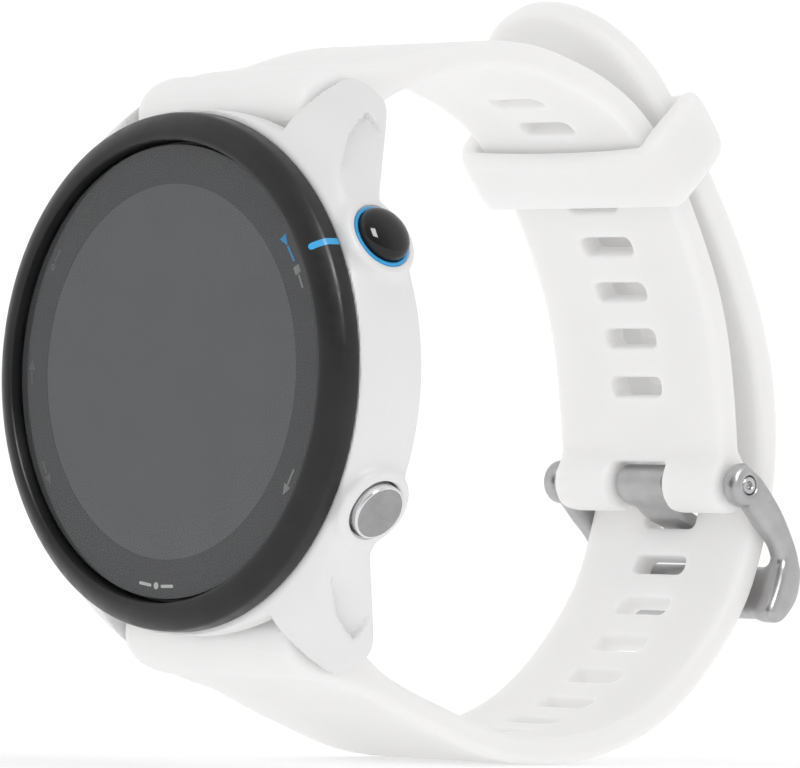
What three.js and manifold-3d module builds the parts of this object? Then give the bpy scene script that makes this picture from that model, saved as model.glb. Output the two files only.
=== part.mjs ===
// A round GPS running watch, buckled, standing with 12 o'clock up.
// The case axis runs along Y: the display faces -Y and the wrist is on the +Y side.
// Millimetres. Heights along the case axis (y) are counted from the front of the bezel.
import * as THREE from "three";
import { ConvexGeometry } from "three/addons/geometries/ConvexGeometry.js";
import { mergeVertices } from "three/addons/utils/BufferGeometryUtils.js";
import Module from "manifold-3d";

const wasm = await Module();
wasm.setup();

// Driving dimensions
const BEZEL_REAR = 2.55;
const BEZEL_RADIUS = 21.05;
const BEZEL_LIP_RADIUS = 18.7;
const GLASS_RADIUS = 18.45;
const DISPLAY_RADIUS = 15.2;
const CASE_RADIUS = 21.6;
const CASE_REAR = 10.2;
const CAVITY_RADIUS = 16.9;
const COVER_RADIUS = 17.6;
const COVER_SEAT = 9.3;
const BACK_DOME = 12.1;
const WINDOW_FACE = 12.4;
const FIT = 0.12;

const STRAP_WIDTH = 20;
const STRAP_END_WIDTH = 19.7;
const STRAP_THICKNESS = 2.35;
const LUG_GAP = 20.6;
const BAR_Y = 9.0;
const BAR_Z = 21.3;
const BAR_RADIUS = 0.75;
const RUNNING_GAP = 0.08;

const BUTTON_Y = 6.1;
const BUTTON_CAP_RADIUS = 2.36;
const BUTTON_BASE = 21.4;
const BUTTON_TOP = 22.9;
const DOME_TOP = 23.75;
const BOSS_RADIUS = 3.4;
const BOSS_TOP = 22.3;
const SEAL_PLACE = 16.2;
const START_ANGLE = 29.4;
const BACK_ANGLE = -28.8;
const LEFT_BUTTON_ANGLE = 30;

const PIN_Y = 56.6;
const PIN_Z = -7.8;
const ROLL_RADIUS = 2.5;
const NOTCH_WIDTH = 6.2;
const SLOT_WIDTH = 6.0;
const SLOT_LENGTH = 1.75;
const SLOT_PITCH = 4.3;
const KEEPER_CENTRE = [48.3, 19.7];
const KEEPER_ANGLE = -52;
const KEEPER_HALF_WIDTH = 12.1;
const KEEPER_OPENING = 10.1;

const BIG = 48;
const MEDIUM = 24;
const SMALL = 14;

const finishes = {
  white_polymer: { color: 0xe9e8e6, roughness: 0.5, metalness: 0 },
  white_silicone: { color: 0xebeae8, roughness: 0.62, metalness: 0 },
  black_polymer: { color: 0x1c1c1e, roughness: 0.42, metalness: 0 },
  cover_glass: { color: 0x3c3d3f, roughness: 0.08, metalness: 0 },
  display: { color: 0x55575a, roughness: 0.3, metalness: 0 },
  gloss_black: { color: 0x0c0c0d, roughness: 0.08, metalness: 0 },
  blue_trim: { color: 0x35a8e0, roughness: 0.35, metalness: 0 },
  steel: { color: 0xa4a4a4, roughness: 0.32, metalness: 1 },
  dark_rubber: { color: 0x222222, roughness: 0.8, metalness: 0 },
  circuit: { color: 0x1d5c38, roughness: 0.5, metalness: 0 },
  cell_foil: { color: 0xb9bcc0, roughness: 0.35, metalness: 0.8 },
  diffuser: { color: 0xe6e9ec, roughness: 0.4, metalness: 0 },
  gold: { color: 0xc79a3c, roughness: 0.3, metalness: 1 },
  chassis: { color: 0x3a3b3d, roughness: 0.6, metalness: 0 },
};

const watch = new THREE.Group();
const radians = THREE.MathUtils.degToRad;

// Solids: three.js geometry in, manifold out for cuts and joins, three.js geometry back.
function solid(geometry) {
  const bare = geometry.index ? geometry.toNonIndexed() : geometry.clone();
  for (const name of Object.keys(bare.attributes)) if (name !== "position") bare.deleteAttribute(name);
  const merged = mergeVertices(bare, 1e-4);
  const triVerts = new Uint32Array(merged.index.array);
  const build = () => new wasm.Manifold(
    new wasm.Mesh({ numProp: 3, vertProperties: merged.attributes.position.array, triVerts }),
  );
  const made = build();
  if (made.volume() > 0) return made;
  triVerts.reverse();
  return build();
}

function geometryOf(manifold) {
  const mesh = manifold.getMesh();
  const geometry = new THREE.BufferGeometry();
  geometry.setAttribute("position", new THREE.BufferAttribute(mesh.vertProperties, 3));
  geometry.setIndex(new THREE.BufferAttribute(mesh.triVerts, 1));
  return geometry;
}

function addPiece(parent, name, manifold, finish) {
  const mesh = new THREE.Mesh(geometryOf(manifold), new THREE.MeshStandardMaterial(finishes[finish]));
  mesh.name = name;
  parent.add(mesh);
}

// A body of revolution about Y from a closed [radius, y] outline.
function turned(outline, segments = BIG) {
  const points = outline.map(([r, y]) => new THREE.Vector2(r, y));
  if (outline[0][0] > 0) points.push(points[0].clone());
  return solid(new THREE.LatheGeometry(points, segments));
}

function disc(radius, y0, y1, segments = BIG) {
  return turned([[0, y0], [radius, y0], [radius, y1], [0, y1]], segments);
}

function ring(inner, outer, y0, y1, segments = BIG) {
  return turned([[inner, y0], [outer, y0], [outer, y1], [inner, y1]], segments);
}

function block(sx, sy, sz, x, y, z) {
  return solid(new THREE.BoxGeometry(sx, sy, sz).translate(x, y, z));
}

// Takes a shape drawn in (y, z) and extrudes it along X, centred on x.
const SIDEWAYS = new THREE.Matrix4().makeBasis(
  new THREE.Vector3(0, 1, 0), new THREE.Vector3(0, 0, 1), new THREE.Vector3(1, 0, 0),
);

function sidewaysGeometry(points, width, x = 0) {
  const shape = new THREE.Shape(points.map(([y, z]) => new THREE.Vector2(y, z)));
  const geometry = new THREE.ExtrudeGeometry(shape, { depth: width, bevelEnabled: false });
  return geometry.translate(0, 0, x - width / 2).applyMatrix4(SIDEWAYS);
}

function sideways(points, width, x = 0) {
  return solid(sidewaysGeometry(points, width, x));
}

function circlePoints(y, z, radius, count, from = 0, to = 360) {
  const whole = to - from === 360;
  const steps = whole ? count : count - 1;
  return Array.from({ length: count }, (_, i) => {
    const angle = radians(from + ((to - from) * i) / steps);
    return [y + radius * Math.cos(angle), z + radius * Math.sin(angle)];
  });
}

// A rod along X, from its [radius, x] outline, at (y, z).
function crossRod(outline, y, z, segments = SMALL) {
  return turned(outline, segments).rotate([0, 0, -90]).translate([0, y, z]);
}

function straightRod(radius, length, y, z, segments = SMALL) {
  const half = length / 2;
  return crossRod([[0, -half], [radius, -half], [radius, half], [0, half]], y, z, segments);
}

// Straps: a centreline in (y, z) with a thickness that eases from the root to the body.
function strapLine(points) {
  const places = points.map(([y, z]) => new THREE.Vector3(y, z, 0));
  return new THREE.CatmullRomCurve3(places, false, "centripetal");
}

function lineFrame(line, u) {
  const point = line.getPointAt(u);
  const tangent = line.getTangentAt(u);
  return { y: point.x, z: point.y, ty: tangent.x, tz: tangent.y };
}

// outward is +1 when the outer face lies to the left of the line's direction.
function ribbonOutline(line, steps, thicknessAt, outward) {
  const inner = [];
  const outer = [];
  for (let i = 0; i <= steps; i++) {
    const f = lineFrame(line, i / steps);
    const half = thicknessAt((i / steps) * line.getLength()) / 2;
    const side = outward * half;
    outer.push([f.y - f.tz * side, f.z + f.ty * side]);
    inner.push([f.y + f.tz * side, f.z - f.ty * side]);
  }
  return [...outer, ...inner.reverse()];
}

// A strap is full width between the lugs and a little narrower from the wrist's side to its end.
function strapRibbon(outline) {
  const geometry = sidewaysGeometry(outline, STRAP_WIDTH);
  const position = geometry.attributes.position;
  for (let i = 0; i < position.count; i++) {
    const ease = THREE.MathUtils.smoothstep(position.getY(i), 14, 42);
    position.setX(i, position.getX(i) * THREE.MathUtils.lerp(1, STRAP_END_WIDTH / STRAP_WIDTH, ease));
  }
  return solid(geometry);
}

function strapThickness(distance) {
  const ease = THREE.MathUtils.smoothstep(distance, 1.5, 9);
  return THREE.MathUtils.lerp(4.6, STRAP_THICKNESS, ease);
}

// A rounded adjustment slot through the strap at a distance along its line.
function slotCutter(line, distance) {
  const f = lineFrame(line, distance / line.getLength());
  const turn = Math.atan2(f.tz, f.ty);
  const box = new THREE.BoxGeometry(SLOT_WIDTH, SLOT_LENGTH, 8);
  box.rotateX(turn).translate(0, f.y, f.z);
  return solid(box);
}

// The thick end that sits between the lugs, rounded round its spring bar.
function strapRoot(sign) {
  const outline = [
    [5.5, 20.2], [5.4, 21.7], [5.8, 22.7], [6.6, 23.5], [7.8, 24.15], [11.0, 24.8], [13.2, 22.8],
    [12.2, 20.6], [9.6, 18.8], [7.2, 18.8],
  ];
  return sideways(outline.map(([y, z]) => [y, sign * z]), STRAP_WIDTH);
}

const shortLine = strapLine([
  [9.0, 21.3], [13.1, 23.3], [18.3, 25.05], [22.8, 26.35], [27.5, 27.0], [32, 26.9], [36, 26.05],
  [40.2, 24.65], [44.0, 22.45], [47.4, 19.0], [49.4, 16.2], [51.6, 12.3], [53.5, 8.25], [54.8, 4.0],
  [55.6, -0.5], [56.1, -4.4], [PIN_Y, PIN_Z],
]);

const longLine = strapLine([
  [9.0, -21.3], [13.4, -23.7], [18.6, -26.1], [23.8, -28.0], [29.2, -29.7], [35.5, -30.35], [41.5, -29.65],
  [47.0, -27.8], [51.5, -24.75], [55.2, -20.95], [58.0, -16.9], [59.65, -12.5], [60.6, -8.4], [60.9, -3.6],
  [60.3, 1.3], [58.95, 5.8], [57.05, 10.1], [54.9, 13.9], [52.45, 17.65], [50.05, 21.1], [46.4, 25.4],
  [43.9, 28.8], [41.7, 32.4],
]);

// Distance along a strap's line where it comes nearest to a point.
function distanceTo(line, y, z) {
  const length = line.getLength();
  const target = new THREE.Vector3(y, z, 0);
  let best = 0;
  for (let d = 0; d <= length; d += 0.1) {
    const here = line.getPointAt(d / length).distanceTo(target);
    if (here < line.getPointAt(best / length).distanceTo(target)) best = d;
  }
  return best;
}

function barHole(z) {
  return straightRod(BAR_RADIUS + RUNNING_GAP, 40, BAR_Y, z, SMALL);
}

function buildShortStrap() {
  const outline = ribbonOutline(shortLine, 44, strapThickness, 1);
  let strap = strapRibbon(outline).add(strapRoot(1));
  strap = strap.add(straightRod(ROLL_RADIUS, STRAP_END_WIDTH, PIN_Y, PIN_Z, MEDIUM));
  const notchTop = PIN_Z + 1.95;
  strap = strap.subtract(block(NOTCH_WIDTH, 12, 8, 0, PIN_Y, notchTop - 4));
  strap = strap.subtract(straightRod(BAR_RADIUS + RUNNING_GAP, 40, PIN_Y, PIN_Z, SMALL));
  strap = strap.subtract(barHole(BAR_Z));
  const firstSlot = distanceTo(shortLine, 55.75, 0.65);
  for (let i = 0; i < 8; i++) strap = strap.subtract(slotCutter(shortLine, firstSlot - i * SLOT_PITCH));
  return strap.subtract(leverPocket(1));
}

// The free end: half an ellipse seen from outside, cut by what is left round it.
function tipCutter() {
  const end = lineFrame(longLine, 1);
  const reach = 9;
  const half = STRAP_WIDTH / 2;
  const outline = new THREE.Shape();
  outline.moveTo(-half - 2, -reach);
  outline.lineTo(-half - 2, 4);
  outline.lineTo(half + 2, 4);
  outline.lineTo(half + 2, -reach);
  outline.lineTo(half, -reach);
  outline.absellipse(0, -reach, half, reach, 0, Math.PI, false, 0);
  outline.lineTo(-half - 2, -reach);
  const cutter = new THREE.ExtrudeGeometry(outline, { depth: 12, bevelEnabled: false, curveSegments: 14 });
  cutter.translate(0, 0, -6);
  cutter.rotateX(Math.atan2(end.tz, end.ty));
  cutter.translate(0, end.y, end.z);
  return solid(cutter);
}

function buildLongStrap() {
  const outline = ribbonOutline(longLine, 76, strapThickness, -1);
  let strap = strapRibbon(outline).add(strapRoot(-1));
  strap = strap.subtract(tipCutter()).subtract(barHole(-BAR_Z)).subtract(leverPocket(-1));
  const tongueSlot = distanceTo(longLine, 60.05, -11.0);
  for (let i = -7; i <= 5; i++) strap = strap.subtract(slotCutter(longLine, tongueSlot + i * SLOT_PITCH));
  return strap;
}

// The open pocket on the wrist side where the quick-release lever of a spring bar slides.
function leverPocket(sign) {
  return block(5.2, 4.4, 1.8, 6.6, BAR_Y + 2.2, sign * BAR_Z);
}

// Case body: a flared drum with four lugs, cut for the works, the strap ends and the buttons.
function lug(sx, sz) {
  const corners = [
    [10.3, 3.9, 19.4], [10.3, 7.4, 23.0], [10.3, 8.8, 24.0], [10.3, 10.2, 24.2], [10.3, 11.7, 23.4],
    [10.3, 12.8, 21.6], [10.3, 12.3, 18.6], [10.3, 9.6, 12.5], [10.3, 3.0, 14.0],
    [12.9, 8.6, 22.6], [13.3, 10.0, 23.5], [13.4, 11.3, 22.9], [13.5, 12.3, 21.4], [13.6, 11.3, 17.6],
    [15.0, 6.4, 18.8], [15.2, 8.6, 19.0], [15.1, 10.2, 18.0], [16.7, 4.4, 15.9], [17.0, 8.4, 14.2],
    [18.6, 3.6, 11.3], [18.4, 7.8, 11.0], [13.5, 9.6, 8.0],
  ];
  return solid(new ConvexGeometry(corners.map(([x, y, z]) => new THREE.Vector3(sx * x, y, sz * z))));
}

function caseDrum() {
  return turned([
    [0, BEZEL_REAR + FIT], [21.05, BEZEL_REAR + FIT], [21.3, 3.4], [CASE_RADIUS, 5.0], [CASE_RADIUS, 7.0],
    [21.5, 8.6], [20.7, 9.6], [19.6, CASE_REAR], [0, CASE_REAR],
  ], 64);
}

function caseCavity() {
  return turned([
    [0, 0], [CAVITY_RADIUS, 0], [CAVITY_RADIUS, COVER_SEAT], [COVER_RADIUS + FIT, COVER_SEAT],
    [COVER_RADIUS + FIT, 20], [0, 20],
  ]);
}

// Places a solid that is modelled along Y onto a button's radial axis.
function onButtonAxis(manifold, angle) {
  return manifold.rotate([0, 0, -90]).rotate([0, -angle, 0]).translate([0, BUTTON_Y, 0]);
}

function buttonBore(recessRadius) {
  return turned([
    [0, 12], [1.3, 12], [1.3, 20.6], [recessRadius, 20.6], [recessRadius, 30], [0, 30],
  ], MEDIUM);
}

const buttons = [
  { name: "start", angle: START_ANGLE, dome: true },
  { name: "back", angle: BACK_ANGLE, dome: false },
  { name: "light", angle: 180 - LEFT_BUTTON_ANGLE, dome: false },
  { name: "up", angle: 180, dome: false },
  { name: "down", angle: 180 + LEFT_BUTTON_ANGLE, dome: false },
];

const SCREW_ANGLES = [45, 135, 225, 315];
const SCREW_CIRCLE = 15.1;

function screwPlace(angle) {
  return [SCREW_CIRCLE * Math.cos(radians(angle)), 0, SCREW_CIRCLE * Math.sin(radians(angle))];
}

function buildCase() {
  let body = caseDrum();
  for (const sx of [1, -1]) for (const sz of [1, -1]) body = body.add(lug(sx, sz));
  body = body.subtract(caseCavity());
  for (const angle of SCREW_ANGLES) {
    const post = ring(0.62, 1.7, 8.3, COVER_SEAT, 16).translate(screwPlace(angle));
    const web = block(2.4, COVER_SEAT - 8.3, 2.4, SCREW_CIRCLE + 1.9, (COVER_SEAT + 8.3) / 2, 0);
    body = body.add(post).add(web.rotate([0, -angle, 0]));
  }
  for (const sz of [1, -1]) {
    body = body.subtract(block(LUG_GAP, 16, 12, 0, 5.0 + 8, sz * (18.4 + 6)));
    body = body.subtract(straightRod(BAR_RADIUS + RUNNING_GAP, 24.6, BAR_Y, sz * BAR_Z));
  }
  const boss = ring(1.3, BOSS_RADIUS, 18, BOSS_TOP, MEDIUM);
  for (const button of buttons) {
    const recess = BUTTON_CAP_RADIUS + (button.dome ? 0.34 : 0.24);
    body = body.add(onButtonAxis(boss, button.angle));
    body = body.subtract(onButtonAxis(buttonBore(recess), button.angle));
  }
  return body;
}

// The front: bezel, gasket, cover glass and what lies behind it, from front to back.
function buildFront() {
  addPiece(watch, "bezel", turned([
    [BEZEL_LIP_RADIUS, 0.28], [18.9, 0.05], [19.2, 0], [19.7, 0.13], [20.3, 0.5], [20.93, 1.2],
    [BEZEL_RADIUS, 1.6], [BEZEL_RADIUS, BEZEL_REAR], [17.5, BEZEL_REAR], [17.5, 1.95],
    [BEZEL_LIP_RADIUS, 1.95],
  ]), "black_polymer");
  addPiece(watch, "cover_glass", turned([
    [0, 0.62], [18.2, 0.62], [GLASS_RADIUS, 0.85], [GLASS_RADIUS, 1.5], [0, 1.5],
  ]), "cover_glass");
  addPiece(watch, "glass_gasket", ring(17.75, GLASS_RADIUS, 1.6, 1.85), "dark_rubber");
  addPiece(watch, "mask_ring", ring(DISPLAY_RADIUS, 17.3, 1.62, 1.78), "black_polymer");
  addPiece(watch, "display_panel", disc(15.9, 1.95, 2.65), "display");
  addPiece(watch, "light_guide", disc(15.9, 2.8, 3.3), "diffuser");
  addPiece(watch, "display_frame", turned([
    [0, 3.45], [16.1, 3.45], [16.1, 2.0], [CAVITY_RADIUS - 0.2, 2.0], [CAVITY_RADIUS - 0.2, 4.0], [0, 4.0],
  ]), "chassis");
}

// The works between the display frame and the back cover.
function buildWorks() {
  const works = new THREE.Group();
  watch.add(works);
  addPiece(works, "gps_antenna", ring(15.4, 16.6, 4.1, 4.4), "gold");
  const cell = new THREE.Shape();
  const halfCell = 10.2;
  cell.moveTo(-halfCell + 2, -halfCell);
  cell.lineTo(halfCell - 2, -halfCell);
  cell.absarc(halfCell - 2, -halfCell + 2, 2, -Math.PI / 2, 0);
  cell.lineTo(halfCell, halfCell - 2);
  cell.absarc(halfCell - 2, halfCell - 2, 2, 0, Math.PI / 2);
  cell.lineTo(-halfCell + 2, halfCell);
  cell.absarc(-halfCell + 2, halfCell - 2, 2, Math.PI / 2, Math.PI);
  cell.lineTo(-halfCell, -halfCell + 2);
  cell.absarc(-halfCell + 2, -halfCell + 2, 2, Math.PI, Math.PI * 1.5);
  const cellBody = new THREE.ExtrudeGeometry(cell, { depth: 2.4, bevelEnabled: false, curveSegments: 4 });
  addPiece(works, "battery", solid(cellBody.rotateX(Math.PI / 2).translate(0, 7.1, 0)), "cell_foil");
  addPiece(works, "vibration_motor", disc(2.3, 4.9, 7.1, SMALL).translate([0, 0, 12.9]), "steel");
  addPiece(works, "beeper", disc(2.3, 5.4, 7.1, SMALL).translate([0, 0, -12.9]), "chassis");
  addPiece(works, "main_board", disc(16.1, 7.25, 8.05, BIG), "circuit");
  addPiece(works, "sensor_board", disc(7.6, 9.0, 9.5, MEDIUM), "circuit");
  const optics = block(5.2, 0.9, 5.2, 0, 10.1, 0);
  addPiece(works, "optical_sensor", optics, "chassis");
}

// The back: gasket, cover, sensor window, screws and charging contacts.
const CONTACT_Z = -12.4;
const CONTACT_X = [-2.4, -0.8, 0.8, 2.4];

function buildBack() {
  const gasket = ring(16.95 + FIT, COVER_RADIUS - 0.1, COVER_SEAT + 0.1, 9.65);
  addPiece(watch, "back_gasket", gasket, "dark_rubber");
  let cover = turned([
    [0, 9.8], [COVER_RADIUS, 9.8], [COVER_RADIUS, 10.5], [17.1, 10.9], [11.4, 11.2], [9.6, BACK_DOME],
    [0, BACK_DOME],
  ]);
  cover = cover.subtract(disc(5.75, 11.1, 14, MEDIUM)).subtract(disc(4.4, 5, 14, MEDIUM));
  for (const angle of SCREW_ANGLES) {
    const hole = turned([[0, 5], [0.62, 5], [0.62, 10.35], [1.25, 10.35], [1.25, 14], [0, 14]], 16);
    cover = cover.subtract(hole.translate(screwPlace(angle)));
  }
  cover = cover.subtract(block(7.4, 1.2, 2.4, 0, 11.3, CONTACT_Z));
  for (const x of CONTACT_X) cover = cover.subtract(disc(0.5, 5, 14, 12).translate([x, 0, CONTACT_Z]));
  addPiece(watch, "back_cover", cover, "black_polymer");
  addPiece(watch, "sensor_window", disc(5.6, 11.2, WINDOW_FACE, MEDIUM), "gloss_black");
  SCREW_ANGLES.forEach((angle, i) => {
    const screw = turned([
      [0, 8.5], [0.5, 8.5], [0.5, 10.45], [1.1, 10.45], [1.1, 10.95], [0.9, 11.05], [0, 11.05],
    ], 12);
    addPiece(watch, `back_screw_${i + 1}`, screw.translate(screwPlace(angle)), "steel");
  });
  CONTACT_X.forEach((x, i) => {
    const contact = disc(0.4, 8.2, 11.0, 12).translate([x, 0, CONTACT_Z]);
    addPiece(watch, `charging_contact_${i + 1}`, contact, "gold");
  });
}

// Each button: cap and stem, a seal round the stem, and the switch that it presses.
function buttonCap(dome) {
  const stem = [[0, 16.65], [1.2, 16.65], [1.2, BUTTON_BASE], [BUTTON_CAP_RADIUS, BUTTON_BASE]];
  const domed = [
    [BUTTON_CAP_RADIUS, 22.8], [2.32, 23.05], [2.0, 23.4], [1.3, DOME_TOP - 0.1], [0, DOME_TOP],
  ];
  const flat = [
    [BUTTON_CAP_RADIUS, BUTTON_TOP - 0.25], [2.3, BUTTON_TOP - 0.08], [2.15, BUTTON_TOP],
    [0, BUTTON_TOP - 0.06],
  ];
  return turned([...stem, ...(dome ? domed : flat)], 20);
}

function buildButtons() {
  for (const { name, angle, dome } of buttons) {
    const group = new THREE.Group();
    group.position.y = BUTTON_Y;
    group.rotation.set(0, -radians(angle), 0);
    const along = new THREE.Group();
    along.rotation.z = -Math.PI / 2;
    group.add(along);
    watch.add(group);
    addPiece(along, `${name}_button`, buttonCap(dome), dome ? "gloss_black" : "steel");
    addPiece(along, `${name}_seal`, ring(1.28, 1.6, SEAL_PLACE, SEAL_PLACE + 0.45, SMALL), "dark_rubber");
    addPiece(along, `${name}_switch`, block(2.2, 1.3, 2.2, 0, 15.1, 0), "chassis");
    if (!dome) continue;
    const trim = ring(BUTTON_CAP_RADIUS + 0.06, BUTTON_CAP_RADIUS + 0.28, 20.75, 22.4, 28);
    addPiece(along, "start_ring", trim, "blue_trim");
  }
}

// Quick-release spring bars: a sleeve, a fixed tip on one side and a sliding pin with its lever.
function buildSpringBars() {
  for (const [name, sz] of [["upper", 1], ["lower", -1]]) {
    const z = sz * BAR_Z;
    const sleeve = crossRod([
      [0, -12.1], [0.45, -12.1], [0.45, -9.6], [BAR_RADIUS, -9.4], [BAR_RADIUS, 3.6], [0, 3.6],
    ], BAR_Y, z);
    addPiece(watch, `${name}_bar_sleeve`, sleeve, "steel");
    const pin = crossRod([
      [0, 5.3], [BAR_RADIUS, 5.3], [BAR_RADIUS, 9.4], [0.45, 9.6], [0.45, 12.1], [0, 12.1],
    ], BAR_Y, z);
    const lever = block(0.9, 3.0, 1.0, 7.4, BAR_Y + 1.5, z);
    addPiece(watch, `${name}_bar_release`, pin.add(lever), "steel");
  }
}

// Buckle: the pin through the strap's end, the frame with its two eyes, and the tongue.
const ARM_INNER = 10.0;
const ARM_OUTER = 11.8;
const armOutline = [
  ...circlePoints(PIN_Y, PIN_Z, 1.9, 9, 95, 275),
  [58.4, -11.3], [60.3, -12.9], [60.9, -14.6], [60.3, -16.6], [59.4, -18.5], [59.9, -19.1], [60.8, -19.2],
  [62.4, -18.2], [63.3, -16.2], [63.2, -13.9], [61.6, -10.9], [60.2, -9.0], [58.3, -7.1],
];
const barOutline = [
  [60.9, -14.6], [60.3, -16.6], [59.4, -18.5], [59.9, -19.1], [60.8, -19.2], [62.3, -17.0], [62.5, -14.9],
];

function buildBuckle() {
  addPiece(watch, "buckle_pin", straightRod(BAR_RADIUS, 2 * ARM_OUTER - 0.2, PIN_Y, PIN_Z), "steel");
  const armWidth = ARM_OUTER - ARM_INNER;
  let frame = sideways(barOutline, 2 * ARM_OUTER - 0.4);
  for (const side of [1, -1]) {
    frame = frame.add(sideways(armOutline, armWidth, side * (ARM_INNER + armWidth / 2)));
  }
  frame = frame.subtract(straightRod(BAR_RADIUS + RUNNING_GAP, 40, PIN_Y, PIN_Z));
  addPiece(watch, "buckle_frame", frame, "steel");

  const prong = sideways([
    [55.8, -9.0], [58.0, -10.75], [60.0, -11.5], [61.2, -12.0], [61.8, -13.0], [62.05, -14.2],
    [62.95, -14.0], [62.7, -12.6], [62.0, -11.45], [60.6, -10.65], [58.9, -9.95], [57.6, -8.6],
  ], 4.6);
  let tongue = straightRod(1.65, NOTCH_WIDTH - 0.5, PIN_Y, PIN_Z, MEDIUM).add(prong);
  tongue = tongue.subtract(straightRod(BAR_RADIUS + RUNNING_GAP, 40, PIN_Y, PIN_Z));
  addPiece(watch, "buckle_tongue", tongue, "steel");
}

// Keeper: a chunky loop round both straps, with bevelled edges and a slight lean, drawn in its
// own frame: along the strap towards the buckle, then outwards from the wrist.
const keeperOutline = [
  [-3.6, -3.3], [-2.9, -4.3], [2.0, -4.2], [3.2, -3.2], [2.9, 1.2], [2.4, 3.9], [1.7, 4.85],
  [-3.2, 4.85], [-4.3, 4.0],
];

function buildKeeper() {
  const [y, z] = KEEPER_CENTRE;
  const shell = sideways(keeperOutline, 2 * KEEPER_HALF_WIDTH);
  const opening = block(2 * KEEPER_OPENING, 20, 6.75, 0, 0, 0.475);
  const keeper = shell.subtract(opening).rotate([KEEPER_ANGLE, 0, 0]).translate([0, y, z]);
  addPiece(watch, "keeper", keeper, "white_silicone");
}

addPiece(watch, "case_body", buildCase(), "white_polymer");
buildFront();
buildWorks();
buildBack();
buildButtons();
buildSpringBars();
addPiece(watch, "short_strap", buildShortStrap(), "white_silicone");
addPiece(watch, "long_strap", buildLongStrap(), "white_silicone");
buildKeeper();
buildBuckle();

// The origin is under the middle of the watch, on the surface it stands on.
const bounds = new THREE.Box3().setFromObject(watch);
const middle = bounds.getCenter(new THREE.Vector3());
watch.position.set(-middle.x, -middle.y, -bounds.min.z);

export default watch;
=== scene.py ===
"""A round GPS running watch with a white strap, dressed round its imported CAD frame.

Shapes are drawn in the design frame of the CAD source, in millimetres: the origin is on the case
axis in the plane of the bezel's front, X points to 3 o'clock, Y to the wrist and Z to 12 o'clock.
"""

from math import ceil, cos, hypot, pi, radians, sin, sqrt

import bmesh
import bpy
import numpy as np
import openvdb
from mathutils import Matrix, Vector
from mathutils.geometry import delaunay_2d_cdt


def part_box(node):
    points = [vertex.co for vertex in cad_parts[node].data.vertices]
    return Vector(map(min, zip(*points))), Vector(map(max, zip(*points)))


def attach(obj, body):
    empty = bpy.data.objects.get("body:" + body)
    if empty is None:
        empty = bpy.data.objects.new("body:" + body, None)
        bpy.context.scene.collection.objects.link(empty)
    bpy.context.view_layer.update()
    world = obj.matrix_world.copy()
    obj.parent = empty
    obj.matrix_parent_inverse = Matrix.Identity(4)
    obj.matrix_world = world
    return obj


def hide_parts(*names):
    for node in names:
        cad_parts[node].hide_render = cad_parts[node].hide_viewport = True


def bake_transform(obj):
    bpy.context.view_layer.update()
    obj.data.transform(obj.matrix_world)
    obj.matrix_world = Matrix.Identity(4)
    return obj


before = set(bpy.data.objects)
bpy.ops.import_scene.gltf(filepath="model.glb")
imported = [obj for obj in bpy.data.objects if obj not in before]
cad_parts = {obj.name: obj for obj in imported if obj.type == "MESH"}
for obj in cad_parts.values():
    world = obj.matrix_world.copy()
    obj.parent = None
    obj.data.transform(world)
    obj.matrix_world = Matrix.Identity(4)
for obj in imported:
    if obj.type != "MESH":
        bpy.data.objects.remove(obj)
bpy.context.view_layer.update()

MM = 0.001
bezel_low, bezel_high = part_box("bezel")
ORIGIN = np.array([
    (bezel_low.x + bezel_high.x) / 2, bezel_low.y, (bezel_low.z + bezel_high.z) / 2,
])

# Sizes that the CAD source drives, in mm
BUTTON_Y = 6.1
STRAP_THICKNESS = 2.35
STRAP_WIDTH = 20.0
STRAP_END_SCALE = 0.985
BAR_Y = 9.0
BAR_Z = 21.3
LUG_WALL = 10.3
LEVER_REACH = 3.0
ROD_RADIUS = 0.75
BORE_RADIUS = 0.83
PIN = (56.6, -7.8)
SLOT_PITCH = 4.3
BUTTONS = {
    "start": (29.4, "start"),
    "back": (-28.8, "flat"),
    "light": (150.0, "flat"),
    "up": (180.0, "flat"),
    "down": (210.0, "flat"),
}
# Edges that turn by more degrees than this are shaded as creases.
CREASE = 32


# -------- mesh helpers


def to_row(points):
    """Design-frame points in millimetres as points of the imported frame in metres."""
    return np.asarray(points, float) * MM + ORIGIN


def mesh_piece(name, points, faces, sharp_angle=None):
    """A mesh object from design-frame points, with consistent outward normals."""
    mesh = bpy.data.meshes.new(name)
    mesh.from_pydata(to_row(points).tolist(), [], [[int(i) for i in face] for face in faces])
    bm = bmesh.new()
    bm.from_mesh(mesh)
    bmesh.ops.remove_doubles(bm, verts=bm.verts, dist=1e-7)
    bmesh.ops.recalc_face_normals(bm, faces=bm.faces)
    bm.to_mesh(mesh)
    bm.free()
    mesh.shade_smooth()
    if sharp_angle is not None:
        mesh.set_sharp_from_angle(angle=radians(sharp_angle))
    piece = bpy.data.objects.new(name, mesh)
    bpy.context.scene.collection.objects.link(piece)
    return piece


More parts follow.
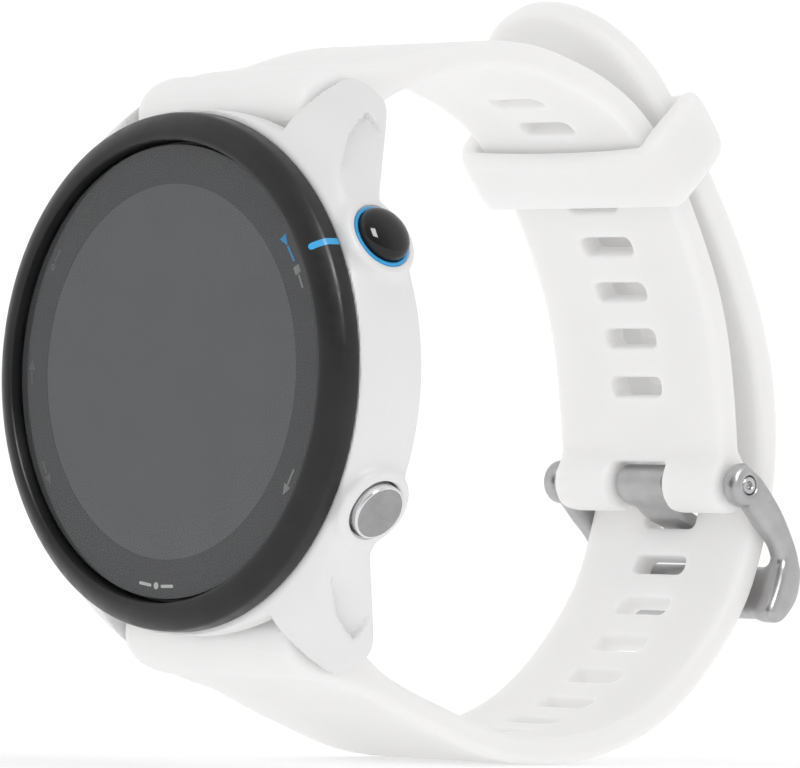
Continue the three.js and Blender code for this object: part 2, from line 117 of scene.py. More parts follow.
def rounded(corners, radius, steps=5):
    """A closed outline with each corner turned into a short curve."""
    corners = np.asarray(corners, float)
    radii = np.broadcast_to(radius, len(corners))
    made = []
    for i, corner in enumerate(corners):
        before, after = corners[i - 1] - corner, corners[(i + 1) % len(corners)] - corner
        reach = min(radii[i], 0.48 * np.linalg.norm(before), 0.48 * np.linalg.norm(after))
        if reach <= 1e-6:
            made.append(corner)
            continue
        a = corner + before / np.linalg.norm(before) * reach
        b = corner + after / np.linalg.norm(after) * reach
        for t in np.linspace(0, 1, steps + 1):
            made.append((1 - t) ** 2 * a + 2 * t * (1 - t) * corner + t * t * b)
    return np.array(made)
def box_outline(half_u, half_v, radius, steps=3, centre=(0, 0)):
    """A rectangle with rounded corners, from its half sizes and its centre."""
    u, v = centre
    corners = [
        (u - half_u, v - half_v), (u + half_u, v - half_v),
        (u + half_u, v + half_v), (u - half_u, v + half_v),
    ]
    return rounded(corners, radius, steps)


def ring_profile(inner, outer, low, high):
    """The (radius, height) outline of a plain ring, or of a rod where inner is 0."""
    return [(inner, low), (outer, low), (outer, high), (inner, high)]

def subdivided(outline, spacing):
    """The closed outline with extra points, so that no edge is longer than spacing."""
    made = []
    for a, b in zip(outline, np.roll(outline, -1, axis=0)):
        count = max(1, ceil(np.linalg.norm(b - a) / spacing))
        made.extend(a + (b - a) * t for t in np.arange(count) / count)
    return np.array(made)


def revolved(profile, place, steps):
    """Points and faces of an outline of (radius, height) turned about an axis.
    place(radius * cos, height, radius * sin) gives the design-frame point."""
    points, rows, faces = [], [], []
    for r, h in profile:
        if r < 1e-6:
            rows.append([len(points)] * steps)
            points.append(place(0, h, 0))
            continue
        rows.append(list(range(len(points), len(points) + steps)))
        for i in range(steps):
            a = 2 * pi * i / steps
            points.append(place(r * cos(a), h, r * sin(a)))
    pairs = list(zip(rows, rows[1:]))
    if profile[0][0] > 1e-6:
        pairs.append((rows[-1], rows[0]))
    for low, high in pairs:
        for i in range(steps):
            j = (i + 1) % steps
            face = list(dict.fromkeys([low[i], low[j], high[j], high[i]]))
            if len(face) > 2:
                faces.append(face)
    return points, faces


def cos_sin(degrees):
    return cos(radians(degrees)), sin(radians(degrees))


def on_depth_axis(x, z):
    """Maps (across, along Y, across) to an axis that runs through the case from the front."""
    return lambda a, along, b: (x + a, along, z + b)


def on_back_flat(x, z, turn=0.0):
    """Maps (u, v, along Y) to a place on the case's back, turned by radians."""
    c, s = cos(turn), sin(turn)
    return lambda u, v, w: (x + u * c - v * s, w, z + u * s + v * c)


def on_button_axis(angle):
    """Maps (across, along the button's axis, across) to the design frame."""
    c, s = cos_sin(angle)
    return lambda a, along, b: (along * c - a * s, BUTTON_Y + b, along * s + a * c)


def about_button(x, y, z, angle):
    """Distances of design-frame points out along a button's axis and off that axis."""
    c, s = cos_sin(angle)
    return x * c + z * s, np.hypot(z * c - x * s, y - BUTTON_Y)


def on_cross_axis(y, z):
    """Maps (across, along X, across) to the design frame, for rods between the lugs."""
    return lambda a, along, b: (along, y + a, z + b)


def turned(name, profile, place=on_depth_axis(0, 0), steps=96, sharp_angle=CREASE):
    """A piece of revolution from an outline of (radius, height)."""
    points, faces = revolved(profile, place, steps)
    return mesh_piece(name, points, faces, sharp_angle)


def drill(radius, low, high, place):
    """A rod that cuts a round hole."""
    return turned("drill", ring_profile(0, radius, low, high), place, steps=32)


def prism(name, outline, lift, depth, place):
    """An outline in (u, v) made solid from lift to lift + depth along w; place(u, v, w)."""
    count = len(outline)
    points = [place(u, v, lift) for u, v in outline]
    points += [place(u, v, lift + depth) for u, v in outline]
    faces = [list(range(count))[::-1], list(range(count, 2 * count))]
    faces += [[i, (i + 1) % count, count + (i + 1) % count, count + i] for i in range(count)]
    return mesh_piece(name, points, faces, CREASE)


def cut(piece, *cutters):
    """Takes the cutters' solids out of a piece and removes them."""
    for cutter in cutters:
        modifier = piece.modifiers.new("cut", "BOOLEAN")
        modifier.operation = "DIFFERENCE"
        modifier.solver = "MANIFOLD"
        modifier.object = cutter
    graph = bpy.context.evaluated_depsgraph_get()
    mesh = bpy.data.meshes.new_from_object(piece.evaluated_get(graph))
    piece.modifiers.clear()
    piece.data = mesh
    for cutter in cutters:
        bpy.data.objects.remove(cutter)
    mesh.shade_smooth()
    mesh.set_sharp_from_angle(angle=radians(CREASE))


# -------- distance fields


def smooth_min(a, b, k):
    """The smaller of two fields, with the corner between them rounded over a width k."""
    h = np.maximum(k - np.abs(a - b), 0) / k
    return np.minimum(a, b) - h * h * k / 4


def smooth_max(a, b, k):
    return -smooth_min(-a, -b, k)


def smoothstep(value, low, high):
    """Rises from 0 at low to 1 at high, level at both ends."""
    t = np.clip((value - low) / (high - low), 0, 1)
    return t * t * (3 - 2 * t)


def polygon_field(u, v, outline):
    """Signed distance to a closed outline in the (u, v) plane, negative inside."""
    outline = np.asarray(outline, float)
    nearest, sign = None, 1.0
    for (au, av), (bu, bv) in zip(outline, np.roll(outline, -1, axis=0)):
        eu, ev = bu - au, bv - av
        wu, wv = u - au, v - av
        t = np.clip((wu * eu + wv * ev) / (eu * eu + ev * ev), 0, 1)
        square = (wu - eu * t) ** 2 + (wv - ev * t) ** 2
        nearest = square if nearest is None else np.minimum(nearest, square)
        above, below, left = v >= av, v < bv, eu * wv > ev * wu
        flips = (above & below & left) | (~above & ~below & ~left)
        sign = np.where(flips, -sign, sign)
    return sign * np.sqrt(nearest)


def convex_field(u, v, outline, k):
    """Rounded field of a convex outline: the smooth maximum of its edges' distances."""
    outline = np.asarray(outline, float)
    ahead = np.roll(outline, -1, axis=0)
    area = np.sum(outline[:, 0] * ahead[:, 1] - ahead[:, 0] * outline[:, 1])
    made = None
    for (au, av), (bu, bv) in zip(outline, ahead):
        length = hypot(bu - au, bv - av) * (1 if area > 0 else -1)
        d = ((u - au) * (bv - av) - (v - av) * (bu - au)) / length
        made = d if made is None else smooth_max(made, d, k)
    return made


def field_piece(name, field, low, high, step):
    """The surface where a field is zero, meshed on a grid and settled onto the field."""
    axes = [np.arange(a, b + step, step) for a, b in zip(low, high)]
    x, y, z = (axes[0][:, None, None], axes[1][None, :, None], axes[2][None, None, :])
    values = np.broadcast_to(field(x, y, z), [len(a) for a in axes])
    grid = openvdb.FloatGrid(1.0)
    grid.copyFromArray(np.ascontiguousarray(values, np.float32))
    points, triangles, quads = grid.convertToPolygons(0.0, 0.0)
    points = points.astype(float) * step + np.array([a[0] for a in axes])
    probe, settle_rounds, longest_move, least_slope = 0.02, 2, 0.3 * step, 0.2
    for _ in range(settle_rounds):
        px, py, pz = points.T
        here = field(px, py, pz)
        slope = np.stack([
            field(px + probe, py, pz) - field(px - probe, py, pz),
            field(px, py + probe, pz) - field(px, py - probe, pz),
            field(px, py, pz + probe) - field(px, py, pz - probe),
        ], 1) / (2 * probe)
        move = slope * (here / np.maximum((slope**2).sum(1), least_slope))[:, None]
        limit = longest_move / np.maximum(np.linalg.norm(move, axis=1), 1e-9)
        points = points - move * np.minimum(limit, 1)[:, None]
    faces = [list(f) for f in quads] + [list(f) for f in triangles]
    return mesh_piece(name, points, faces)


# -------- materials


def set_inputs(node, values):
    for socket, value in values.items():
        node.inputs[socket].default_value = value


def add_node(tree, kind, values=None):
    """A shader node with the given values on its inputs."""
    node = tree.nodes.new(f"ShaderNode{kind}")
    set_inputs(node, values or {})
    return node


def add_ramp(tree, *stops):
    """A colour ramp between two stops of (position, colour)."""
    ramp = add_node(tree, "ValToRGB")
    for element, (position, color) in zip(ramp.color_ramp.elements, stops):
        element.position = position
        element.color = [*color, 1]
    return ramp


def join(tree, *pairs):
    """Links outputs to inputs, each given as (node, output, node, input)."""
    for source, output, target, socket in pairs:
        tree.links.new(source.outputs[output], target.inputs[socket])


# Most of a noise texture's values lie between these two.
NOISE_LOW, NOISE_HIGH = 0.3, 0.7
# Light goes this many mm into silicone. The glow strength below is painted light: an emission, with
# no lamp behind it, that lightens the silicone's shaded slots, creases and inside.
SCATTER_DEPTH = 2.2
PAINTED_GLOW_STRENGTH = 0.12


def surface(
    name, color, roughness, tint=0.03, tint_size=5.0, grain=0.2, depth=0.004, metallic=0.0,
    specular=0.5, coat=0.0, spread=0.08, stretch=(1, 1, 1), sheen=0.0, scatter_and_painted_glow=0.0,
):
    """A procedural finish: uneven colour and roughness over tint_size mm, and a fine relief
    of grain mm across and depth mm deep, stretched along an axis where it is brushed."""
    made = bpy.data.materials.new(name)
    made.use_nodes = True
    tree = made.node_tree
    shader = tree.nodes["Principled BSDF"]
    # The glow value sets real subsurface scattering and also a painted glow: an emission that
    # lightens the surface as if it were lit.
    set_inputs(shader, {
        "Metallic": metallic, "Specular IOR Level": specular, "Coat Weight": coat,
        "Coat Roughness": 0.08, "Sheen Weight": sheen, "Sheen Roughness": 0.4,
        "Subsurface Weight": scatter_and_painted_glow, "Subsurface Radius": (1.0, 0.9, 0.85),
        "Subsurface Scale": SCATTER_DEPTH * MM, "Emission Color": (1, 1, 0.995, 1),
        "Emission Strength": PAINTED_GLOW_STRENGTH * scatter_and_painted_glow,
    })
    place = add_node(tree, "TexCoord")

    def noise(size, detail, factors=(1, 1, 1)):
        mapping = add_node(tree, "Mapping", {"Scale": factors})
        texture = add_node(tree, "TexNoise", {"Scale": 1 / (size * MM), "Detail": detail})
        join(tree, (place, "Object", mapping, "Vector"), (mapping, "Vector", texture, "Vector"))
        return texture

    clouds = noise(tint_size, 4.0)
    darker = [c * (1 - tint) for c in color]
    lighter = [min(1, c * (1 + tint)) for c in color]
    ramp = add_ramp(tree, (NOISE_LOW, darker), (NOISE_HIGH, lighter))
    patches = noise(tint_size * 0.4, 5.0, stretch)
    span = add_node(tree, "MapRange", {
        "From Min": NOISE_LOW, "From Max": NOISE_HIGH,
        "To Min": max(0.0, roughness - spread), "To Max": min(1.0, roughness + spread),
    })
    relief = noise(grain, 3.0, stretch)
    bump = add_node(tree, "Bump", {"Strength": 1.0, "Distance": depth * MM})
    join(
        tree,
        (clouds, "Fac", ramp, "Fac"), (ramp, "Color", shader, "Base Color"),
        (patches, "Fac", span, "Value"), (span, "Result", shader, "Roughness"),
        (relief, "Fac", bump, "Height"), (bump, "Normal", shader, "Normal"),
    )
    return made


def clear_surface(name):
    """Clear cover glass: see-through, with a smooth reflecting face and faint wipe marks."""
    made = bpy.data.materials.new(name)
    made.use_nodes = True
    tree = made.node_tree
    tree.nodes.clear()
    place = add_node(tree, "TexCoord")
    wipes = add_node(tree, "TexNoise", {"Scale": 1 / (4 * MM), "Detail": 5})
    span = add_node(tree, "MapRange", {"To Min": 0.02, "To Max": 0.09})
    bump = add_node(tree, "Bump", {"Distance": 0.0006 * MM})
    tint = add_ramp(tree, (0, (0.93, 0.935, 0.94)), (1, (0.97, 0.975, 0.98)))
    through = add_node(tree, "BsdfTransparent")
    shine = add_node(tree, "BsdfGlossy")
    edge = add_node(tree, "LayerWeight")
    # It reflects next to nothing face on, and more towards a grazing view.
    share = add_ramp(tree, (0.6, (0.004, 0.004, 0.004)), (1, (0.3, 0.3, 0.3)))
    mix = add_node(tree, "MixShader")
    output = add_node(tree, "OutputMaterial")
    join(
        tree,
        (place, "Object", wipes, "Vector"), (wipes, "Fac", span, "Value"),
        (wipes, "Fac", bump, "Height"), (wipes, "Fac", tint, "Fac"),
        (tint, "Color", through, "Color"), (span, "Result", shine, "Roughness"),
        (bump, "Normal", shine, "Normal"), (edge, "Facing", share, "Fac"),
        (share, "Color", mix, "Fac"), (through, "BSDF", mix, 1), (shine, "BSDF", mix, 2),
        (mix, "Shader", output, "Surface"),
    )
    return made


def ink(name, color, roughness, tint):
    return surface(
        f"print_{name}", color, roughness, tint=tint, tint_size=0.6, grain=0.08, depth=0.001,
    )


def lens_print(name, color):
    """The print and the display carry the lens's gloss, so that the glass can stay clear."""
    return surface(
        name, color, 0.1, 0.02, 6.0, 2.0, 0.0002, spread=0.03,
    )


def metal(name, color, roughness, tint, tint_size, grain, depth, spread=0.08, stretch=(1, 1, 1)):
    return surface(
        name, color, roughness, tint, tint_size, grain, depth, metallic=1.0, spread=spread,
        stretch=stretch,
    )


# White silicone with a painted glow: an emission that lightens it where it lies in shade, as in its
# slots and inside the strap's loop.
SILICONE = surface(
    "silicone_white", (0.78, 0.78, 0.777), 0.56, 0.012, 9.0, 0.16, 0.003, specular=0.4,
    spread=0.05, sheen=0.06, scatter_and_painted_glow=0.8,
)
POLYMER = surface(
    "case_white", (0.84, 0.84, 0.837), 0.46, 0.012, 7.0, 0.11, 0.0025, specular=0.45, spread=0.05,
)
BLACK = surface(
    "bezel_black", (0.014, 0.014, 0.0145), 0.36, 0.2, 3.0, 0.09, 0.0025, specular=0.36, spread=0.07,
)
BACK_BLACK = surface("back_polymer", (0.022, 0.022, 0.023), 0.42, 0.15, 4.0, 0.12)
GLASS = clear_surface("cover_glass_clear")
WINDOW = surface(
    "window_dark", (0.012, 0.010, 0.012), 0.06, 0.3, 2.5, 1.5, 0.0006, coat=0.6, spread=0.03,
)
GLOSS = surface(
    "gloss_black", (0.006, 0.006, 0.0065), 0.07, 0.3, 1.5, 1.2, 0.0012, specular=0.4, spread=0.03,
)
BLUE = surface(
    "trim_blue", (0.045, 0.42, 0.83), 0.34, 0.07, 1.0, 0.15, 0.002, spread=0.06,
)
MARK_BLUE = ink("blue", (0.03, 0.24, 0.5), 0.4, 0.06)
MARK_GREY = ink("grey", (0.21, 0.21, 0.21), 0.45, 0.08)
MARK_DIM = ink("dim", (0.115, 0.115, 0.117), 0.45, 0.08)
MARK_WHITE = ink("white", (0.5, 0.5, 0.5), 0.45, 0.05)
PANEL = lens_print("panel_dark", (0.1, 0.101, 0.103))
BORDER = lens_print("border_dark", (0.06, 0.0605, 0.062))
BRUSHED = metal(
    "steel_brushed", (0.47, 0.47, 0.475), 0.36, 0.08, 2.0, 0.12, 0.0016, stretch=(14, 1, 1),
)
CAP_FACE = metal(
    "cap_brushed", (0.34, 0.34, 0.345), 0.3, 0.06, 1.5, 0.1, 0.0012, 0.06, stretch=(1, 1, 14),
)
CHROME = metal("steel_polished", (0.78, 0.78, 0.79), 0.09, 0.03, 1.0, 0.3, 0.0005, 0.03)
STEEL = metal("steel_plain", (0.55, 0.55, 0.56), 0.3, 0.08, 1.5, 0.12, 0.0015)
GOLD = metal("contact_gold", (0.83, 0.60, 0.27), 0.24, 0.1, 0.5, 0.1, 0.001)
RUBBER = surface("seal_rubber", (0.03, 0.03, 0.03), 0.8, 0.2, 0.8, 0.08, 0.006)
BOARD = surface("board_green", (0.02, 0.13, 0.06), 0.42, 0.35, 1.2, 0.5, 0.01)
FOIL = surface("cell_foil", (0.5, 0.51, 0.53), 0.35, 0.12, 2.0, 0.4, 0.01, metallic=0.8)
CHASSIS = surface("chassis_grey", (0.05, 0.05, 0.053), 0.6, 0.15, 1.5, 0.15, 0.006)
DIFFUSER = surface("diffuser_white", (0.78, 0.8, 0.82), 0.4, 0.04, 1.0, 0.12, 0.002)

SLOT_FINISH = {
    "white_polymer": POLYMER, "white_silicone": SILICONE, "bezel_black": BLACK,
    "mask_ink": BORDER, "back_polymer": BACK_BLACK, "cover_glass": GLASS,
    "sensor_window": WINDOW, "gloss_black": GLOSS, "blue_trim": BLUE,
    "button_metal": BRUSHED, "buckle_steel": BRUSHED, "steel": STEEL, "gold": GOLD,
    "dark_rubber": RUBBER, "display": PANEL, "diffuser": DIFFUSER, "chassis": CHASSIS,
    "cell_foil": FOIL, "circuit": BOARD,
}


def dress(piece, body, slot, *nodes, finish=None):
    """Gives a piece its body, slot and finish, and lets it stand for CAD nodes."""
    piece.data.materials.clear()
    piece.data.materials.append(finish or SLOT_FINISH[slot])
    if body:
        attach(piece, body)
    if nodes:
        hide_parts(*nodes)
    return piece


# -------- case body

# The case and its lugs in side view: (radius or height above the axis, depth)
CASE_FRONT = 2.67
CASE_PROFILE = [
    (0, CASE_FRONT), (20.88, CASE_FRONT), (21.02, 2.74), (21.12, 2.92), (21.3, 3.5), (21.48, 4.3),
    (21.6, 5.2), (21.62, 6.3), (21.58, 7.4), (21.42, 8.4), (21.05, 9.25), (20.4, 9.85),
    (19.6, 10.15), (18.9, 10.2), (0, 10.2),
]
CAVITY_PROFILE = [(-5, -1), (16.9, -1), (16.9, 9.3), (17.72, 9.3), (17.72, 20), (-5, 20)]
ARM_OUTLINE = [
    (2.0, 10.0), (2.0, 21.4), (8.6, 24.1), (10.2, 24.3), (11.7, 23.45), (12.65, 22.3),
    (12.95, 21.2), (12.5, 18.8), (11.4, 15.0), (9.8, 12.5), (8.8, 10.0),
]
FLARE_FROM = 21.05
SIDE_ANGLE = radians(29.5)
SIDE_DISTANCE = 22.15
SCOOP_START = (5.2, 4.3)
SCOOP_LEAN = radians(39)
SCOOP_DEPTH = 1.15
SCOOP_OUTLINE = [
    (0, 0), (1.6, -0.4), (3.1, -0.6), (4.7, -0.71), (6.0, -0.58), (7.2, -0.31), (8.7, 0.1),
    (8.3, 1.0), (6.5, 2.8), (4.0, 3.8), (1.0, 3.8), (-0.8, 2.4), (-0.8, 0.9),
]
BOSS_RADIUS, BOSS_FACE = 3.45, 22.3
STEM_HOLE = 1.3
RECESS_RADIUS = {"start": 2.7, "flat": 2.54}
RECESS_FLOOR = 20.6
# The case's field stays this far inside each recess, which a crisp cut then finishes.
RECESS_ROUGH = 0.2
RECESS_CHAMFER = 0.14


def lug_field(x, y, z):
    """The four lug arms: the front shoulder flares back, the sides are flats that face the
    buttons, and each flat has a leaf-shaped scoop. Gives the arms and the scoops."""
    ax, az, r = np.abs(x), np.abs(z), np.hypot(x, z)
    flare = np.clip(r - FLARE_FROM, -1.6, None)
    front = 2.7 + 0.55 * flare + 0.165 * flare**2 - y
    front = front / np.sqrt(1 + (0.55 + 0.33 * flare) ** 2)
    arm = smooth_max(convex_field(y, az, ARM_OUTLINE, 0.6), front, 0.5)
    side = cos(SIDE_ANGLE) * ax + sin(SIDE_ANGLE) * az - SIDE_DISTANCE
    arm = smooth_max(arm, side, 0.7)
    # A slanting plane gives each arm its waist.
    arm = smooth_max(arm, (0.44 * ax + 0.879 * y - 0.30 * az - 10.3) / 1.028, 0.9)
    arm = smooth_max(arm, -np.maximum(5.0 - y, ax - LUG_WALL), 0.2)
    # The scoop is deepest along the crease on its front edge.
    along = cos(SIDE_ANGLE) * az - sin(SIDE_ANGLE) * ax - SCOOP_START[0]
    lean_c, lean_s = cos(SCOOP_LEAN), sin(SCOOP_LEAN)
    down = along * lean_c + (y - SCOOP_START[1]) * lean_s
    over = (y - SCOOP_START[1]) * lean_c - along * lean_s
    depth = SCOOP_DEPTH * smoothstep(down, -0.8, 4.2) * (1 - (over + 0.7) / 3.4)
    scoop = smooth_max(polygon_field(down, over, SCOOP_OUTLINE), -depth - side, 0.15)
    return arm, scoop


def lug_gap_field(x, y, z):
    """The gap between the lugs, under a curved front ledge, and the pocket behind it."""
    ax, az = np.abs(x), np.abs(z)
    ledge = az - (BAR_Z + 0.05 - 0.0198 * ax**2)
    gap = np.maximum(ax - LUG_WALL, -ledge)
    pocket = np.maximum(np.maximum(ax - LUG_WALL, 5.0 - y), 18.4 - az)
    return gap, pocket


def case_field(x, y, z):
    ax, az, r = np.abs(x), np.abs(z), np.hypot(x, z)
    arm, scoop = lug_field(x, y, z)
    body = smooth_min(polygon_field(r, y, CASE_PROFILE), arm, 0.9)
    body = smooth_max(body, -scoop, 0.3)
    for angle, _ in BUTTONS.values():
        out, off = about_button(x, y, z, angle)
        boss = smooth_max(off - BOSS_RADIUS, out - BOSS_FACE, 0.5)
        body = smooth_min(body, np.maximum(boss, 15 - out), 0.8)
    for angle, kind in BUTTONS.values():
        out, off = about_button(x, y, z, angle)
        wall = off - RECESS_RADIUS[kind] + RECESS_ROUGH
        body = np.maximum(body, -np.maximum(wall, RECESS_FLOOR + RECESS_ROUGH - out))
        body = np.maximum(body, -np.maximum(off - STEM_HOLE, 12 - out))
    gap, pocket = lug_gap_field(x, y, z)
    body = smooth_max(body, -gap, 0.2)
    body = smooth_max(body, -pocket, 0.2)
    bar_end = np.abs(ax - 11.2) - 1.15
    hole = np.maximum(np.hypot(y - BAR_Y, az - BAR_Z) - BORE_RADIUS, bar_end)
    body = np.maximum(body, -hole)
    body = smooth_max(body, CASE_FRONT - y, 0.1)
    return np.maximum(body, -polygon_field(r, y, CAVITY_PROFILE))


case_body = field_piece("case_shell", case_field, (-24.5, 2.1, -25), (24.5, 12.6, 25), 0.25)
for button_angle, button_kind in BUTTONS.values():
    radius = RECESS_RADIUS[button_kind]
    mouth = radius + RECESS_CHAMFER
    cut(case_body, turned("recess", [
        (0, RECESS_FLOOR), (radius, RECESS_FLOOR), (radius, 22.18), (mouth, 22.34), (mouth, 25),
        (0, 25),
    ], on_button_axis(button_angle)))
dress(case_body, "case", "white_polymer", "case_body")


# -------- bezel and glass

BEZEL_PROFILE = [
    (17.5, 2.55), (17.5, 1.95), (18.62, 1.95), (18.70, 1.88), (18.70, 0.34), (18.74, 0.2),
    (18.82, 0.1), (18.94, 0.03), (19.12, 0.0), (19.35, 0.02), (19.6, 0.1), (19.9, 0.24),
    (20.2, 0.43), (20.5, 0.68), (20.78, 0.98), (20.9, 1.13), (20.97, 1.28), (21.01, 1.5),
    (21.04, 2.0), (21.05, 2.45), (21.0, 2.55),
]
# From the top of the lip out and down to the rim
BEZEL_FRONT = BEZEL_PROFILE[8:20]
bezel = turned("bezel_ring", BEZEL_PROFILE, steps=288, sharp_angle=38)
dress(bezel, "case", "bezel_black", "bezel")

glass = turned("cover_lens", [
    (0, 0.62), (6, 0.62), (12, 0.62), (17.9, 0.62), (18.14, 0.632), (18.3, 0.68), (18.4, 0.76),
    (18.45, 0.9), (18.45, 1.5), (0, 1.5),
], steps=192, sharp_angle=50)
dress(glass, "case", "cover_glass", "cover_glass")
# The print and the display look as near the face as they do through 0.9 mm of glass.
PRINT_DEPTH = 1.1
border_profile = ring_profile(15.2, 18.36, PRINT_DEPTH, PRINT_DEPTH + 0.06)
border = turned("lens_border", border_profile, steps=192)
dress(border, "case", "mask_ink", "mask_ring")
display_profile = ring_profile(0, 15.3, PRINT_DEPTH + 0.02, PRINT_DEPTH + 0.1)
display = turned("display_disc", display_profile, steps=192)
dress(display, "case", "display", "display_panel")


def interpolated(s, places, table):
    """Rows of a two-column table at distances s, where its own rows are at places."""
    return np.stack([np.interp(s, places, table[:, i]) for i in (0, 1)], -1)


def bezel_point(distance):
    """Point and outward normal on the bezel's front at a distance out from its lip."""
    line = np.array(BEZEL_FRONT)
    places = np.concatenate([[0], np.cumsum(np.linalg.norm(np.diff(line, axis=0), axis=1))])
    r, y = interpolated(distance, places, line)
    ahead, behind = (interpolated(distance + step, places, line) for step in (0.05, -0.05))
    tr, ty = ahead - behind
    size = hypot(tr, ty)
    return r, y, ty / size, -tr / size


def bezel_tick(name, angle, start, end, width, lift):
    """A thin inlay that runs out over the bezel with a round inner end."""
    half, foot, columns = width / 2, -0.06, 7
    distances = list(start + half * (1 - np.cos(np.linspace(0, pi / 2, 7))))
    distances += list(np.linspace(start + half, end, 22))[1:]
    points, faces = [], []
    for layer in (lift, foot):
        for d in distances:
            inset = max(0.0, start + half - d)
            reach = sqrt(max(half**2 - inset**2, 1e-6))
            r, y, nr, ny = bezel_point(d)
            for k in range(columns):
                across = reach * (2 * k / (columns - 1) - 1)
                a = radians(angle) + across / r
                radius = r + nr * layer
                points.append((radius * cos(a), y + ny * layer, radius * sin(a)))
    rows = len(distances)
    top, low = np.arange(2 * rows * columns).reshape(2, rows, columns)
    for i in range(rows - 1):
        for k in range(columns - 1):
            faces.append([top[i, k], top[i, k + 1], top[i + 1, k + 1], top[i + 1, k]])
            faces.append([low[i, k], low[i + 1, k], low[i + 1, k + 1], low[i, k + 1]])
        for k in (0, columns - 1):
            faces.append([top[i, k], top[i + 1, k], low[i + 1, k], low[i, k]])
    for k in range(columns - 1):
        for i in (0, rows - 1):
            faces.append([top[i, k], low[i, k], low[i, k + 1], top[i, k + 1]])
    return mesh_piece(name, points, faces, 40)


dress(bezel_tick("start_tick", 29.6, 0.78, 3.55, 0.56, 0.016), "case", "blue_trim")
dress(bezel_tick("back_tick", -28.9, 0.95, 1.6, 0.5, 0.02), "case", "bezel_black")

MARK_RADIUS = 17.1
FRONT_MARK_RADIUS = 17.35


def printed(name, material, angle, outline, turn=0, radius=MARK_RADIUS):
    """A small printed mark on the glass, drawn with u along the circle and v outwards."""
    a = radians(angle)
    c, s = cos_sin(turn)

    def place(u, v, w):
        across, out = u * c - v * s, u * s + v * c + radius
        return (
            out * cos(a) - across * sin(a), PRINT_DEPTH + w,
            out * sin(a) + across * cos(a),
        )

    dress(prism(name, outline, -0.015, 0.04, place), "case", "mask_ink", finish=material)


def bar(length, height=0.2):
    return box_outline(length / 2, height / 2, height * 0.45)


TRIANGLE = rounded([(-0.45, -0.42), (0.5, 0), (-0.45, 0.42)], 0.1, 3)
SQUARE = box_outline(0.34, 0.34, 0.1)
DOT = [(0.32 * cos(t), 0.32 * sin(t)) for t in np.linspace(0, 2 * pi, 20)[:-1]]
SMALL_DOT = [(u * 0.9, v * 0.9) for u, v in DOT]
printed("mark_start", MARK_BLUE, 37.6, TRIANGLE, 180)
printed("mark_start_line", MARK_BLUE, 33.4, bar(1.5))
printed("mark_stop", MARK_GREY, 28.4, SQUARE)
printed("mark_stop_line", MARK_GREY, 25.0, bar(1.2))
printed("mark_back", MARK_GREY, -33.2, TRIANGLE, 180)
printed("mark_back_line", MARK_GREY, -29.3, bar(1.5))
printed("mark_light", MARK_DIM, 150, DOT)
printed("mark_light_line", MARK_DIM, 146.3, bar(1.2))
printed("mark_up", MARK_DIM, 178.2, TRIANGLE, 180)
printed("mark_up_line", MARK_DIM, 181.8, bar(1.2))
printed("mark_down", MARK_DIM, 211.5, TRIANGLE)
printed("mark_down_line", MARK_DIM, 207.6, bar(1.2))
printed("mark_front_left", MARK_WHITE, -97.4, bar(1.5, 0.26), radius=FRONT_MARK_RADIUS)
printed("mark_front", MARK_WHITE, -93.0, SMALL_DOT, radius=FRONT_MARK_RADIUS)
printed("mark_front_right", MARK_WHITE, -88.6, bar(1.5, 0.26), radius=FRONT_MARK_RADIUS)


# -------- buttons

# (radius, distance from the case's axis); the first points are the stem and the cap's back.
CAP_BACK = [(0, 16.65), (1.16, 16.65), (1.2, 16.69), (1.2, 21.4), (2.28, 21.4), (2.36, 21.48)]
DOME_CAP = CAP_BACK + [
    (2.36, 22.72), (2.34, 22.86), (2.28, 23.0), (2.16, 23.14), (2.0, 23.27), (1.8, 23.39),
    (1.55, 23.5), (1.25, 23.6), (0.9, 23.68), (0.5, 23.735), (0, 23.75),
]
FLAT_CAP = CAP_BACK + [
    (2.36, 22.7), (2.35, 22.78), (2.33, 22.84), (2.29, 22.88), (2.25, 22.895), (2.21, 22.89),
    (2.18, 22.875), (1.6, 22.86), (0.8, 22.85), (0, 22.845),
]
# A flat cap is brushed within this radius and in front of this distance, and polished elsewhere.
BRUSHED_WITHIN, BRUSHED_FROM = 2.19, 22.5


def button_cap(name, angle, kind):
    profile = DOME_CAP if kind == "start" else FLAT_CAP
    cap = turned(f"{name}_cap", profile, on_button_axis(angle), sharp_angle=40)
    if kind == "start":
        dress(cap, f"{name}_button", "gloss_black", f"{name}_button")
        return
    dress(cap, f"{name}_button", "button_metal", f"{name}_button", finish=CHROME)
    cap.data.materials.append(CAP_FACE)
    for face in cap.data.polygons:
        x, y, z = (np.array(face.center) - ORIGIN) / MM
        out, off = about_button(x, y, z, angle)
        if out > BRUSHED_FROM and off < BRUSHED_WITHIN:
            face.material_index = 1


for button, (button_angle, button_kind) in BUTTONS.items():
    button_cap(button, button_angle, button_kind)

start_ring = turned("start_trim", [
    (2.4, 20.75), (2.67, 20.75), (2.69, 20.79), (2.69, 22.3), (2.67, 22.37), (2.61, 22.4),
    (2.48, 22.4), (2.42, 22.37), (2.4, 22.3),
], on_button_axis(BUTTONS["start"][0]), sharp_angle=40)
dress(start_ring, "case", "blue_trim", "start_ring")


# -------- straps

